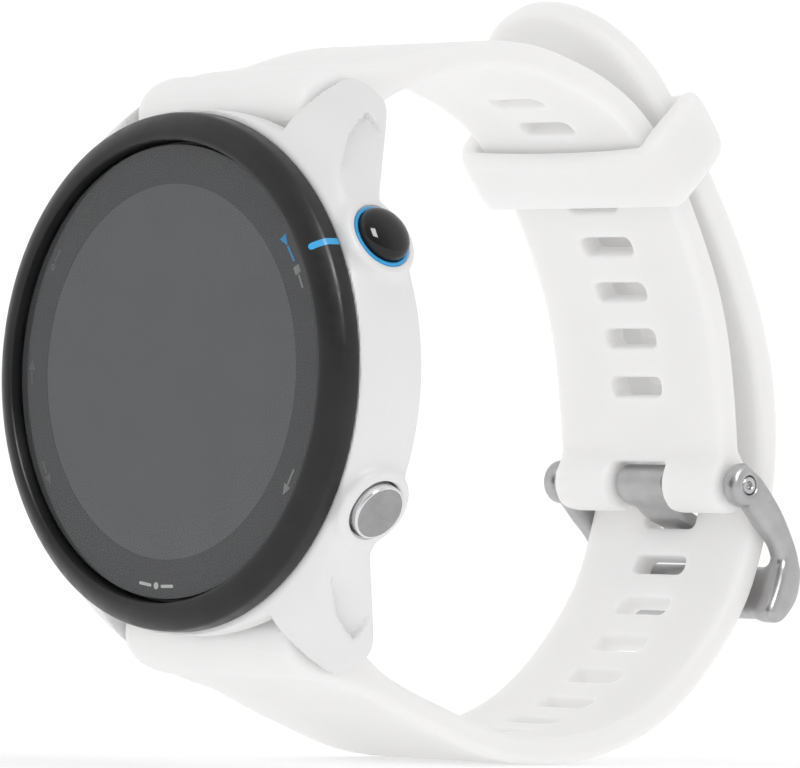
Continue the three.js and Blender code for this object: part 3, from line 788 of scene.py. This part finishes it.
# Each strap half's middle line in side view, (depth behind the bezel's front, height)
SHORT_LINE = [
    (9.0, 21.3), (13.1, 23.3), (18.3, 25.05), (22.8, 26.35), (27.5, 27.0), (32, 26.9), (36, 26.05),
    (40.2, 24.65), (44.0, 22.45), (47.4, 19.0), (49.4, 16.2), (51.6, 12.3), (53.5, 8.25),
    (54.8, 4.0), (55.6, -0.5), (56.1, -4.4), PIN,
]
LONG_LINE = [
    (9.0, -21.3), (13.4, -23.7), (18.6, -26.1), (23.8, -28.0), (29.2, -29.7), (35.5, -30.35),
    (41.5, -29.65), (47.0, -27.8), (51.5, -24.75), (55.2, -20.95), (58.0, -16.9), (59.65, -12.5),
    (60.6, -8.4), (60.9, -3.6), (60.3, 1.3), (58.95, 5.8), (57.05, 10.1), (54.9, 13.9),
    (52.45, 17.65), (50.05, 21.1), (46.4, 25.4), (43.9, 28.8), (41.7, 32.4),
]
# The strap's root round the spring bar: its outer and inner faces at the same places
ROOT_OUTER = [
    (6.0, 19.75), (5.45, 20.6), (5.4, 21.7), (5.8, 22.7), (6.6, 23.5), (7.8, 24.15), (9.3, 24.55),
]
ROOT_INNER = [
    (6.9, 19.0), (7.6, 18.8), (8.6, 18.8), (9.5, 18.9), (10.3, 19.2), (11.1, 19.6), (11.9, 20.1),
]
ROOT_PLACES = [-5.4, -4.6, -3.6, -2.5, -1.3, 0.0, 1.4]
ROOT_THICKNESS = 4.6
RIBBON_FROM = 3.0
HALF = STRAP_THICKNESS / 2
EDGE = STRAP_WIDTH / 2
ROLL_RADIUS = 2.5
EDGE_SPACING = 0.8


def centripetal(knots, samples=40):
    """The centripetal Catmull-Rom curve through the knots, as three.js draws it."""
    knots = np.asarray(knots, float)
    padded = np.vstack([2 * knots[0] - knots[1], knots, 2 * knots[-1] - knots[-2]])
    made = []
    for p0, p1, p2, p3 in zip(padded, padded[1:], padded[2:], padded[3:]):
        d0, d1, d2 = (sqrt(np.linalg.norm(b - a)) for a, b in ((p0, p1), (p1, p2), (p2, p3)))
        m1 = ((p1 - p0) / d0 - (p2 - p0) / (d0 + d1) + (p2 - p1) / d1) * d1
        m2 = ((p2 - p1) / d1 - (p3 - p1) / (d1 + d2) + (p3 - p2) / d2) * d1
        t = np.linspace(0, 1, samples, endpoint=False)[:, None]
        a, b = 2 * p1 - 2 * p2 + m1 + m2, -3 * p1 + 3 * p2 - 2 * m1 - m2
        made.append(p1 + m1 * t + b * t**2 + a * t**3)
    return np.vstack([*made, knots[-1:]])


class Band:
    """A strap's side profile: where its outer and inner faces are at each distance along it."""

    def __init__(self, knots, outward, mirror, roll):
        line = centripetal(knots)
        lengths = np.concatenate([[0], np.cumsum(np.linalg.norm(np.diff(line, axis=0), axis=1))])
        self.length = lengths[-1]
        places = np.arange(RIBBON_FROM, self.length + 3.0, 0.25)
        inside = np.minimum(places, self.length)
        centre = interpolated(inside, lengths, line)
        tangent = np.stack([np.gradient(line[:, i], lengths) for i in (0, 1)], 1)
        tangent = interpolated(inside, lengths, tangent)
        tangent /= np.linalg.norm(tangent, axis=1)[:, None]
        centre = centre + tangent * (places - inside)[:, None]
        normal = np.stack([-tangent[:, 1], tangent[:, 0]], 1) * outward
        thinning = (STRAP_THICKNESS - ROOT_THICKNESS) * smoothstep(places, 1.5, 9)
        half = (ROOT_THICKNESS + thinning) / 2
        if roll:
            swell = np.sqrt(np.maximum(roll**2 - (places - self.length) ** 2, 0.01))
            half = smooth_max(half, swell, 0.7)
            half = np.where(places > self.length + 0.8, swell, half)
        flip = np.array([1, -1 if mirror else 1])
        joined = np.concatenate([ROOT_PLACES, places])
        outer = np.vstack([np.array(ROOT_OUTER) * flip, centre + normal * half[:, None]])
        inner = np.vstack([np.array(ROOT_INNER) * flip, centre - normal * half[:, None]])
        self.places = np.arange(joined[0], joined[-1], 0.1)
        self.outer, self.inner = (self.softened(joined, table) for table in (outer, inner))
        self.roll = roll

    def softened(self, joined, table):
        """A face's line at even places, smoothed where the root runs into the ribbon."""
        fine = interpolated(self.places, joined, table)
        reach = 6
        window = np.hanning(2 * reach + 1)
        window = window / window.sum()
        padded = np.vstack([np.repeat(fine[:1], reach, 0), fine, np.repeat(fine[-1:], reach, 0)])
        soft = np.stack([np.convolve(padded[:, i], window, "valid") for i in (0, 1)], 1)
        near_root = 1 - smoothstep(self.places, RIBBON_FROM + 2, RIBBON_FROM + 4)
        near_root *= smoothstep(self.places, self.places[0] + 0.2, self.places[0] + 0.8)
        return fine + (soft - fine) * near_root[:, None]

    def at(self, table, s):
        return interpolated(s, self.places, table)
    def nearest(self, y, z):
        """The distance along the strap at which its middle passes nearest to a point."""
        middle = (self.outer + self.inner) / 2
        keep = self.places > RIBBON_FROM
        gap = np.hypot(middle[:, 0] - y, middle[:, 1] - z)
        return self.places[keep][np.argmin(gap[keep])]

    def bend(self, flat):
        """Design-frame points for (distance, across, through) points of the flat strap."""
        s, x, through = flat.T
        outer, inner = self.at(self.outer, s), self.at(self.inner, s)
        middle, across = (outer + inner) / 2, outer - inner
        thick = np.linalg.norm(across, axis=1)
        across = across / thick[:, None]
        a = np.abs(through)
        kept = np.maximum(thick / 2 - (HALF - a), 0.2 * a)
        scaled = thick / 2 * a / HALF
        share = 1 - smoothstep(s, self.places[0] + 0.5, self.places[0] + 2.5)
        if self.roll:
            share = share + smoothstep(s, self.length - 4, self.length - 1)
        offset = np.sign(through) * (kept + (scaled - kept) * share)
        place = middle + across * offset[:, None]
        ease = smoothstep(place[:, 0], 14, 42)
        return np.column_stack([x * (1 + (STRAP_END_SCALE - 1) * ease), place])


def outward_normals(loop):
    tangent = np.roll(loop, -1, axis=0) - np.roll(loop, 1, axis=0)
    normal = np.stack([tangent[:, 1], -tangent[:, 0]], 1)
    return normal / np.linalg.norm(normal, axis=1)[:, None]


def rim_steps(width, wall, count):
    """(inset, height) from a strap's face round its edge, down to half the edge's wall."""
    return [
        (width * (1 - sin(t)), wall + (HALF - wall) * cos(t))
        for t in np.linspace(0, pi / 2, count)
    ]


def strip(ring, other):
    """The faces between two closed rings of as many points."""
    ahead = [*range(1, len(ring)), 0]
    return [[ring[i], ring[j], other[j], other[i]] for i, j in enumerate(ahead)]


GRID_ALONG, GRID_ACROSS = 0.85, 0.95
RIM_WALL = 0.4
SLOT_RIM = 0.32


def flat_strap(outline, slots, rim):
    """The flat strap as (distance, across, through) points and faces: two faces, filled
    between the outline and the slots, and a rounded rim along every edge."""
    edges_of = [(outline, -1, rim_steps(rim, RIM_WALL, 7))]
    edges_of += [(loop, 1, rim_steps(SLOT_RIM, HALF - SLOT_RIM, 4)) for loop in slots]
    caps = [
        loop + outward_normals(loop) * sense * steps[0][0] for loop, sense, steps in edges_of
    ]
    bounds = []
    vertices = np.vstack(caps)
    start = 0
    for cap in caps:
        count = len(cap)
        bounds.extend((start + i, start + (i + 1) % count) for i in range(count))
        start += count
    gs, gx = np.meshgrid(
        np.arange(outline[:, 0].min(), outline[:, 0].max(), GRID_ALONG),
        np.arange(-9.5, 9.6, GRID_ACROSS), indexing="ij",
    )
    gx = gx + 0.2 * (np.arange(len(gs)) % 2)[:, None]
    grid = np.stack([gs.ravel(), gx.ravel()], 1)
    keep = polygon_field(grid[:, 0], grid[:, 1], caps[0]) < -0.35
    for cap in caps[1:]:
        keep &= polygon_field(grid[:, 0], grid[:, 1], cap) > 0.3
    vertices = np.vstack([vertices, grid[keep]])
    found, _, triangles, origins, _, _ = delaunay_2d_cdt(
        [Vector(v) for v in vertices], bounds, [], 0, 1e-6, True
    )
    found = np.array([tuple(v) for v in found])
    middles = np.array([found[list(t)].mean(0) for t in triangles])
    inside = polygon_field(middles[:, 0], middles[:, 1], caps[0]) < 0
    for cap in caps[1:]:
        inside &= polygon_field(middles[:, 0], middles[:, 1], cap) > 0
    triangles = [t for t, ok in zip(triangles, inside) if ok]
    index = {i: n for n, group in enumerate(origins) for i in group}
    count = len(found)
    points = [np.column_stack([found, np.full(count, level)]) for level in (HALF, -HALF)]
    faces = [list(t) for t in triangles] + [[count + i for i in t][::-1] for t in triangles]
    total, first = 2 * count, 0
    for (loop, sense, steps), cap in zip(edges_of, caps):
        size = len(loop)
        ring = [index[first + i] for i in range(size)]
        last = [count + i for i in ring]
        first += size
        normals = outward_normals(loop)
        levels = steps[1:] + [(d, -t) for d, t in steps[:0:-1]]
        for d, t in levels:
            points.append(np.column_stack([loop + normals * sense * d, np.full(size, t)]))
            fresh = list(range(total, total + size))
            total += size
            faces += strip(ring, fresh)
            ring = fresh
        faces += strip(ring, last)
    return np.vstack(points), faces


def slot_loop(s, half_length=0.88):
    return subdivided(box_outline(half_length, 3.05, 0.8, 6, (s, 0)), EDGE_SPACING)


def strap_piece(name, band, outline, slots, rim, side):
    """A strap half, bent along its band, with its spring-bar hole and lever pocket."""
    points, faces = flat_strap(outline, slots, rim)
    strap = mesh_piece(name, band.bend(points), faces)
    bar_place = on_cross_axis(BAR_Y, side * BAR_Z)
    cut(strap, drill(BORE_RADIUS, -12.5, 12.5, bar_place))
    square = box_outline(2.2, 0.9, 0.3, 4, (11.2, side * BAR_Z))
    cut(strap, prism("pocket", square, 4.0, 5.2, lambda u, v, w: (w, u, v)))
    return strap


short_band = Band(SHORT_LINE, 1, False, ROLL_RADIUS)
root_end, roll_end = short_band.places[0] + 0.05, short_band.length + 2.42
notch_end, notch_half = short_band.length - 1.95, 3.2
short_outline = subdivided(rounded([
    (root_end, -EDGE), (roll_end, -EDGE), (roll_end, -notch_half), (notch_end, -notch_half),
    (notch_end, notch_half), (roll_end, notch_half), (roll_end, EDGE), (root_end, EDGE),
], [0.9, 1.2, 0.75, 0.5, 0.5, 0.75, 1.2, 0.9]), EDGE_SPACING)
first_slot = short_band.nearest(55.75, 0.65)
short_slots = [slot_loop(first_slot - i * SLOT_PITCH) for i in range(8)]
short_strap = strap_piece("strap_short", short_band, short_outline, short_slots, 0.62, 1)
dress(short_strap, "strap", "white_silicone", "short_strap")

long_band = Band(LONG_LINE, -1, True, 0)
TIP_REACH = 9.0
tip_start = long_band.length - TIP_REACH
tip = [
    (tip_start + TIP_REACH * sin(t), -EDGE * cos(t)) for t in np.linspace(0, pi, 41)
]
straight = rounded([
    (root_end, EDGE), (root_end, -EDGE), (tip_start, -EDGE), (tip_start, EDGE),
], [0.9, 0.9, 0, 0])[:-2]
long_outline = subdivided(np.vstack([straight, tip]), EDGE_SPACING)
tongue_slot = long_band.nearest(60.05, -11.0)
long_slots = [slot_loop(tongue_slot + i * SLOT_PITCH) for i in range(-7, 6) if i]
# The tongue stretches the slot that it goes through.
long_slots.append(slot_loop(tongue_slot + 0.17, half_length=1.05))
long_strap = strap_piece("strap_long", long_band, long_outline, long_slots, 0.85, -1)
dress(long_strap, None, "white_silicone", "long_strap")
tuple(to_row((0, 14, -26)))
tuple(to_row((0, 48, -10)))
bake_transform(long_strap)


# -------- keeper

KEEPER_CENTRE = (48.3, 19.7)
KEEPER_TURN = radians(-52)
KEEPER_OUTLINE = [
    (-3.65, -3.25), (-2.95, -4.3), (2.1, -4.2), (3.3, -3.25), (2.95, 1.2), (2.45, 3.9), (1.6, 4.87),
    (-3.1, 4.87), (-4.3, 3.95),
]


def keeper_field(x, y, z):
    dy, dz = y - KEEPER_CENTRE[0], z - KEEPER_CENTRE[1]
    c, s = cos(KEEPER_TURN), sin(KEEPER_TURN)
    down, out = dy * c + dz * s, dz * c - dy * s
    bow = 0.55 * (1 - (x / 11.5) ** 2) * smoothstep(-down, -1, 4)
    shell = convex_field(down - bow, out, KEEPER_OUTLINE, 1.0)
    shell = smooth_max(shell, np.abs(x) - 12.1, 1.5)
    corner = (np.abs(x) * 0.7071 + np.abs(out - 0.38) * 0.7071) - 11.1
    shell = smooth_max(shell, corner, 1.1)
    gap = smooth_max(np.abs(x) - 10.1, np.abs(out - 0.475) - 3.3, 0.5)
    return smooth_max(shell, -gap, 1.0)


keeper = field_piece("keeper_loop", keeper_field, (-12.7, 41.7, 12.7), (12.7, 55.4, 26.4), 0.22)
dress(keeper, "keeper", "white_silicone", "keeper")


# -------- buckle

ARM_CORNERS = [
    (58.4, -11.3), (60.3, -12.9), (60.9, -14.6), (60.3, -16.6), (59.4, -18.5), (59.9, -19.1),
    (60.8, -19.2), (62.4, -18.2), (63.3, -16.2), (63.2, -13.9), (61.6, -10.9), (60.2, -9.0),
    (58.3, -7.1),
]
BAR_CORNERS = [
    (60.9, -14.6), (60.3, -16.6), (59.4, -18.5), (59.9, -19.1), (60.8, -19.2), (62.3, -17.0),
    (62.5, -14.9),
]


def cut_corners(points, rounds=2):
    """Softens an open run of points by cutting each corner at a quarter of its edges."""
    points = np.array(points, float)
    for _ in range(rounds):
        a, b = points[:-1], points[1:]
        inner = np.stack([0.75 * a + 0.25 * b, 0.25 * a + 0.75 * b], 1).reshape(-1, 2)
        points = np.vstack([points[:1], inner[1:-1], points[-1:]])
    return points


eye = [
    (PIN[0] + 1.9 * cos(radians(a)), PIN[1] + 1.9 * sin(radians(a)))
    for a in np.linspace(95, 275, 13)
]
ARM_SIDE = np.vstack([eye, cut_corners(ARM_CORNERS)])
BAR_SIDE = rounded(BAR_CORNERS, 0.5, 3)


def buckle_field(x, y, z):
    side = np.abs(np.abs(x) - 10.9) - 0.9
    arm = smooth_max(polygon_field(y, z, ARM_SIDE), side, 0.85)
    plate = smooth_max(polygon_field(y, z, BAR_SIDE), np.abs(x) - 11.6, 0.6)
    body = smooth_min(arm, plate, 1.0)
    hole = np.hypot(y - PIN[0], z - PIN[1]) - BORE_RADIUS
    return smooth_max(body, -hole, 0.2)


buckle = field_piece("buckle_loop", buckle_field, (-12.5, 54.2, -19.9), (12.5, 64.0, -5.2), 0.17)
dress(buckle, "buckle_frame", "buckle_steel", "buckle_frame")

PRONG = rounded([
    (55.8, -9.0), (58.0, -10.75), (60.0, -11.5), (61.2, -12.0), (61.8, -13.0), (62.05, -14.2),
    (62.95, -14.0), (62.7, -12.6), (62.0, -11.45), (60.6, -10.65), (58.9, -9.95), (57.6, -8.6),
], 0.6, 3)


def tongue_field(x, y, z):
    off = np.hypot(y - PIN[0], z - PIN[1])
    barrel = smooth_max(off - 1.65, np.abs(x) - 2.85, 0.3)
    prong = smooth_max(polygon_field(y, z, PRONG), np.abs(x) - 2.3, 0.4)
    body = smooth_min(barrel, prong, 0.7)
    return smooth_max(body, BORE_RADIUS - off, 0.1)


tongue = field_piece("buckle_prong", tongue_field, (-3.2, 54.6, -14.8), (3.2, 63.4, -5.8), 0.13)
dress(tongue, "buckle_tongue", "buckle_steel", "buckle_tongue")

PIN_HALF = 11.7
pin_end = [
    (0, PIN_HALF - 0.35), (0.28, PIN_HALF - 0.35), (0.36, PIN_HALF - 0.05), (0.42, PIN_HALF),
    (0.68, PIN_HALF), (ROD_RADIUS, PIN_HALF - 0.08),
]
pin_profile = [(r, -along) for r, along in pin_end] + pin_end[::-1]
pin = turned("buckle_axle", pin_profile, on_cross_axis(*PIN), steps=40)
dress(pin, "strap", "buckle_steel", "buckle_pin", finish=STEEL)


# -------- back of the case

SCREW_PLACES = [tuple(15.1 * part for part in cos_sin(a)) for a in (45, 135, 225, 315)]
CONTACT_Z = -12.4
CONTACT_PLACES = [(x, CONTACT_Z) for x in (-2.4, -0.8, 0.8, 2.4)]

cover = turned("back_plate", [
    (0, 9.8), (17.55, 9.8), (17.6, 9.86), (17.6, 10.42), (17.52, 10.56), (17.1, 10.84),
    (16.7, 10.92), (12.0, 11.14), (11.4, 11.2), (10.9, 11.38), (10.3, 11.78), (9.9, 12.0),
    (9.4, 12.1), (5.95, 12.1), (5.85, 12.06), (5.75, 11.96), (5.75, 11.1), (4.4, 11.1),
    (4.4, 9.8),
], steps=160)
port = box_outline(3.7, 1.2, 0.7, 5)
cut(
    cover,
    *[drill(1.25, 10.35, 14, on_depth_axis(*place)) for place in SCREW_PLACES],
    prism("port_cut", port, 10.7, 3, on_back_flat(0, CONTACT_Z)),
    *[drill(0.5, 9, 11, on_depth_axis(*place)) for place in CONTACT_PLACES],
)
dress(cover, "case", "back_polymer", "back_cover")

sensor_window = turned("sensor_lens", [
    (0, 11.2), (5.5, 11.2), (5.6, 11.3), (5.6, 12.12), (5.55, 12.22), (5.42, 12.3), (4.6, 12.37),
    (3.0, 12.4), (0, 12.4),
])
dress(sensor_window, "case", "sensor_window", "sensor_window")
EYE_REACH = 2.55
EYE_PLACES = [(0, 0), (EYE_REACH, 0), (-EYE_REACH, 0), (0, EYE_REACH), (0, -EYE_REACH)]
for number, place in enumerate(EYE_PLACES):
    radius = 0.62 if number else 0.95
    sensor_eye = turned(f"sensor_eye_{number}", [
        (0, 12.36), (radius, 12.36), (radius, 12.405), (radius - 0.06, 12.415), (0, 12.415),
    ], on_depth_axis(*place), steps=32)
    dress(sensor_eye, "case", "sensor_window", finish=MARK_DIM if number else CHASSIS)

# A six-lobed socket
star = [
    ((0.5 + 0.09 * cos(6 * t)) * cos(t), (0.5 + 0.09 * cos(6 * t)) * sin(t))
    for t in np.linspace(0, 2 * pi, 49)[:-1]
]
for number, place in enumerate(SCREW_PLACES, 1):
    screw = turned(f"screw_{number}", [
        (0, 8.5), (0.45, 8.5), (0.5, 8.55), (0.5, 10.45), (1.04, 10.45), (1.1, 10.5), (1.1, 10.86),
        (1.05, 10.97), (0.93, 11.05), (0, 11.05),
    ], on_depth_axis(*place), steps=48)
    cut(screw, prism("star_cut", star, 10.72, 1, on_back_flat(*place, 0.3 * number)))
    dress(screw, "case", "steel", f"back_screw_{number}")

for number, place in enumerate(CONTACT_PLACES, 1):
    contact = turned(f"contact_{number}", [
        (0, 8.2), (0.4, 8.2), (0.4, 10.9), (0.36, 10.97), (0.28, 11.0), (0, 11.0),
    ], on_depth_axis(*place), steps=32)
    dress(contact, "case", "gold", f"charging_contact_{number}")


# -------- spring bars

def spring_bar(end, centre):
    """A quick-release bar: a fixed sleeve, and a sliding rod and tip with a lever."""
    sleeve = turned(f"{end}_sleeve", [
        (0, -12.1), (0.4, -12.1), (0.45, -12.0), (0.45, -9.6), (0.7, -9.5), (ROD_RADIUS, -9.4),
        (ROD_RADIUS, 3.5), (0.7, 3.6), (0, 3.6),
    ], on_cross_axis(BAR_Y, centre), steps=40)
    dress(sleeve, "case", "steel", f"{end}_bar_sleeve")
    lever_x, lever_half = 7.4, LEVER_REACH / 2

    def release_field(x, y, z):
        off = np.hypot(y - BAR_Y, z - centre)
        rod = smooth_max(off - ROD_RADIUS, np.abs(x - lever_x) - 2.1, 0.15)
        tip_rod = smooth_max(off - 0.45, np.abs(x - 10.2) - 1.88, 0.15)
        reach = np.abs(y - BAR_Y - lever_half) - lever_half
        lever = smooth_max(np.abs(x - lever_x) - 0.45, reach, 0.3)
        lever = smooth_max(lever, np.abs(z - centre) - 0.5, 0.3)
        return smooth_min(np.minimum(rod, tip_rod), lever, 0.2)

    low, high = (5.0, 8.0, centre - 1.0), (12.4, 12.3, centre + 1.0)
    release = field_piece(f"{end}_lever", release_field, low, high, 0.09)
    dress(release, f"{end}_bar_release", "steel", f"{end}_bar_release")


spring_bar("upper", BAR_Z)
spring_bar("lower", -BAR_Z)


# -------- parts kept from the CAD

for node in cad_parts.values():
    for holder in node.material_slots:
        base = holder.material.name.split(".")[0]
        if base in SLOT_FINISH:
            holder.material = SLOT_FINISH[base]


# -------- camera, light and floor

scene = bpy.context.scene
# The view: turned about Z, raised and rolled, from this far and this far off the origin, in mm
TURN, RISE, ROLL = radians(46.9), radians(-1.08), radians(1.48)
CAMERA_DISTANCE, CAMERA_RIGHT, CAMERA_UP = 600, 19.45, -1.04
back = np.array([
    sin(TURN) * cos(RISE), -cos(TURN) * cos(RISE), sin(RISE),
])
level = np.array([cos(TURN), sin(TURN), 0.0])
above = np.cross(back, level)
right = level * cos(ROLL) + above * sin(ROLL)
up = above * cos(ROLL) - level * sin(ROLL)
stand = to_row(CAMERA_RIGHT * right + CAMERA_UP * up + CAMERA_DISTANCE * back)
camera_data = bpy.data.cameras.new("camera")
camera_data.sensor_width = 36.0
camera_data.lens = 334.6
camera_data.clip_start = 0.01
camera_data.clip_end = 50.0
camera = bpy.data.objects.new("camera", camera_data)
camera.matrix_world = Matrix(
    [[right[i], up[i], back[i], stand[i]] for i in range(3)] + [[0, 0, 0, 1]]
)
scene.collection.objects.link(camera)
scene.camera = camera
scene.view_settings.view_transform = "Standard"


def aimed(name, place, target, size, power):
    """A soft rectangular lamp at a design-frame point that faces another."""
    data = bpy.data.lights.new(name, "AREA")
    data.shape = "RECTANGLE"
    data.size, data.size_y = size[0] * MM, size[1] * MM
    data.energy = power
    lamp = bpy.data.objects.new(name, data)
    place, target = Vector(to_row(place)), Vector(to_row(target))
    lamp.matrix_world = Matrix.LocRotScale(place, (target - place).to_track_quat("-Z", "Y"), None)
    scene.collection.objects.link(lamp)
    return lamp


aimed("key", (-260, -420, 420), (0, 20, 0), (260, 260), 0.067)
# This lamp is only mirrored, in the domed button and along the bezel.
window_lamp = aimed("window", (234, -68, 209), (20, 5, 12), (105, 125), 0.7)
window_lamp.visible_diffuse = False
# This one stands for the light that the white strap throws round its own inside.
inside_lamp = aimed("inside", (0, 16, 0), (0, 60, 0), (18, 34), 0.0025)
inside_lamp.visible_glossy = False
inside_lamp.visible_camera = False

world = bpy.data.worlds.new("studio")
scene.world = world
world.use_nodes = True
studio = world.node_tree
studio.nodes.clear()
direction = add_node(studio, "TexCoord")


def room(axis, low, high, strength_low, strength_high):
    """A background whose strength runs from one value to another along an axis."""
    dot = add_node(studio, "VectorMath", {1: Vector(axis).normalized()})
    dot.operation = "DOT_PRODUCT"
    shade = add_node(studio, "MapRange", {
        "From Min": low, "From Max": high, "To Min": strength_low, "To Max": strength_high,
    })
    light = add_node(studio, "Background")
    join(
        studio,
        (direction, "Generated", dot, 0), (dot, "Value", shade, "Value"),
        (shade, "Result", light, "Strength"),
    )
    return light


sky = room((0.85, -0.15, -0.2), -1.0, 1.0, 1.16, 1.03)
# Reflections see a dimmer room on the camera's side, and the camera sees plain white.
mirrored = room((0.76, -0.64, 0.1), 0.2, 0.95, 1.1, 0.5)
seen = add_node(studio, "Background", {"Color": (1, 1, 1, 1), "Strength": 1.05})
path = add_node(studio, "LightPath")
glossy = add_node(studio, "MixShader")
mix = add_node(studio, "MixShader")
output = add_node(studio, "OutputWorld")
join(
    studio,
    (path, "Is Glossy Ray", glossy, "Fac"), (sky, "Background", glossy, 1),
    (mirrored, "Background", glossy, 2), (path, "Is Camera Ray", mix, "Fac"),
    (glossy, "Shader", mix, 1), (seen, "Background", mix, 2), (mix, "Shader", output, "Surface"),
)

bpy.ops.mesh.primitive_plane_add(size=12.0, location=(0, 0, 0))
floor = bpy.context.object
floor.name = "floor"
floor_finish = surface(
    "floor_white", (0.86, 0.86, 0.86), 0.85, 0.004, 200.0, 3.0, 0.01,
    specular=0.1,
)
floor_shader = floor_finish.node_tree.nodes["Principled BSDF"]
set_inputs(floor_shader, {"Emission Color": (1, 1, 1, 1), "Emission Strength": 0.27})
floor.data.materials.append(floor_finish)
